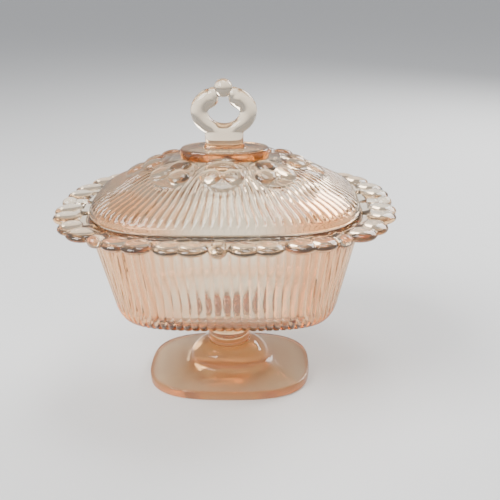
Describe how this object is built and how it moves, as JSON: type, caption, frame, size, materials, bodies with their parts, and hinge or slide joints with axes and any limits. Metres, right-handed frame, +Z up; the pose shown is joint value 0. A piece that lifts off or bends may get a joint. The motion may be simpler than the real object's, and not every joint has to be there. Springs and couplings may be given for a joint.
{
  "type": "covered candy dish",
  "caption": "Footed oblong glass candy dish with fluted sides, an open lace rim, and a lift-off domed lid with a ring handle.",
  "frame": {"origin": "middle of the foot's flat underside, where the dish stands", "axes": "+X along the dish's length, +Y towards its back, +Z up through the stem and the ring handle"},
  "size_m": [0.1768, 0.1432, 0.1677],
  "materials": {
    "foot_glass": "pressed pink glass, satin-worn on the foot's top",
    "bowl_glass": "pressed pink glass, fluted",
    "lid_glass": "pressed pink glass, ribbed"
  },
  "bodies": {
    "footed_bowl": {"foot_plate": "foot_glass", "foot_collar": "foot_glass", "stem_bead": "foot_glass", "stem": "foot_glass", "bowl": "bowl_glass", "lace_rim": "bowl_glass"},
    "lid": {"lid_dome": "lid_glass", "knob_plate": "lid_glass", "ring_handle": "lid_glass", "finial_ball": "lid_glass"}
  },
  "joints": [
    {"name": "lid_lift", "type": "slide", "parent": "footed_bowl", "child": "lid", "axis": [0, 0, 1], "range_m": [0, 0.09]}
  ]
}
